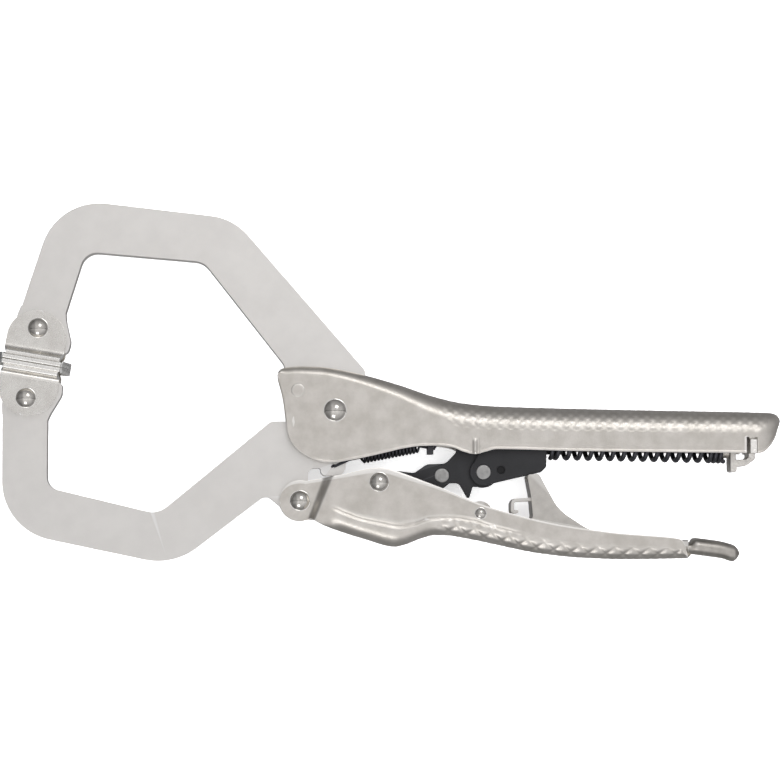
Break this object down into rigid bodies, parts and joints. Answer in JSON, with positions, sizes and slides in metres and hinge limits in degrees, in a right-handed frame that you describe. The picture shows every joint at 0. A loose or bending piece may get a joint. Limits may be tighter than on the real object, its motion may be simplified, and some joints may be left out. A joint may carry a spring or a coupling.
{
  "type": "locking pliers",
  "caption": "Self-adjusting locking C-clamp pliers with swivel pads, riveted sheet handles, a sprung slider and a release lever.",
  "frame": {"origin": "centre of the closed jaw, between the two pads' clamping faces, at half the thickness of the tool", "axes": "+X along the grip from the jaw to the rear end, +Y in the plane of the tool towards the fixed arm, +Z across the tool out of its near side"},
  "size_m": [0.2795, 0.1271, 0.0198],
  "materials": {
    "arm_steel": "satin nickel plated plate steel",
    "handle_steel": "satin nickel plated sheet steel",
    "rivet_steel": "nickel plated rivet steel",
    "pin_steel": "bright ground steel pin",
    "black_oxide": "black oxide hardened steel",
    "spring_black": "blackened spring wire",
    "spring_steel": "bright spring wire",
    "pad_steel": "satin nickel plated pressed steel"
  },
  "bodies": {
    "upper_body": {"upper_handle": "handle_steel", "upper_arm": "arm_steel", "arm_rivet": "rivet_steel", "main_pivot_rivet": "rivet_steel", "cheek_near": "arm_steel", "cheek_far": "arm_steel", "lock_rack": "black_oxide", "spring_anchor": "handle_steel", "slide_spring": "spring_black"},
    "lower_jaw_body": {"lower_arm": "arm_steel", "jaw_spring": "spring_black"},
    "lower_handle_body": {"lower_handle": "handle_steel", "jaw_rivet": "rivet_steel", "link_rivet": "rivet_steel", "link_spacer_near": "rivet_steel", "link_spacer_far": "rivet_steel", "release_rivet": "rivet_steel", "release_spring": "spring_steel"},
    "toggle_body": {"link_plate_near": "black_oxide", "link_plate_far": "black_oxide", "link_plate_rivet": "pin_steel"},
    "slider_body": {"slider_plate_near": "black_oxide", "slider_plate_far": "black_oxide", "slider_block": "black_oxide", "slider_pin": "pin_steel"},
    "release_body": {"release_lever": "handle_steel"},
    "upper_pad_body": {"upper_pad": "pad_steel", "upper_pad_rivet": "rivet_steel"},
    "lower_pad_body": {"lower_pad": "pad_steel", "lower_pad_rivet": "rivet_steel"}
  },
  "joints": [
    {"name": "jaw", "type": "hinge", "parent": "upper_body", "child": "lower_jaw_body", "pos_m": [0.1067, -0.0165, 0], "axis": [0, 0, 1], "range_deg": [0, 35], "deforming": ["jaw_spring"]},
    {"name": "lower_handle", "type": "hinge", "parent": "lower_jaw_body", "child": "lower_handle_body", "pos_m": [0.0944, -0.0484, 0], "axis": [0, 0, 1], "range_deg": [-53.2, 0]},
    {"name": "toggle_link", "type": "hinge", "parent": "lower_handle_body", "child": "toggle_body", "pos_m": [0.1223, -0.0418, 0], "axis": [0, 0, 1], "range_deg": [0, 35.44]},
    {"name": "slider", "type": "slide", "parent": "upper_body", "child": "slider_body", "axis": [0.9998, -0.0175, 0], "range_m": [0, 0.0192], "deforming": ["slide_spring"]},
    {"name": "release_lever", "type": "hinge", "parent": "lower_handle_body", "child": "release_body", "pos_m": [0.1582, -0.0529, 0], "axis": [0, 0, 1], "range_deg": [0, 4.5], "stiffness_Nm_per_rad": 0.35, "springref_deg": -5.16},
    {"name": "upper_pad", "type": "hinge", "parent": "upper_body", "child": "upper_pad_body", "pos_m": [0.00204, 0.01233, 0], "axis": [0, 0, 1], "range_deg": [0, 17.7]},
    {"name": "lower_pad", "type": "hinge", "parent": "lower_jaw_body", "child": "lower_pad_body", "pos_m": [-0.00204, -0.01233, 0], "axis": [0, 0, 1], "range_deg": [-17.7, 0]}
  ],
  "couplings": [
    {"joint": "lower_handle", "follows": "jaw", "ratio": -1.5143},
    {"joint": "toggle_link", "follows": "jaw", "ratio": 1.0068},
    {"joint": "slider", "follows": "jaw", "m_per_rad": 0.030942},
    {"joint": "upper_pad", "follows": "jaw", "ratio": 0.5},
    {"joint": "lower_pad", "follows": "jaw", "ratio": -0.5}
  ]
}
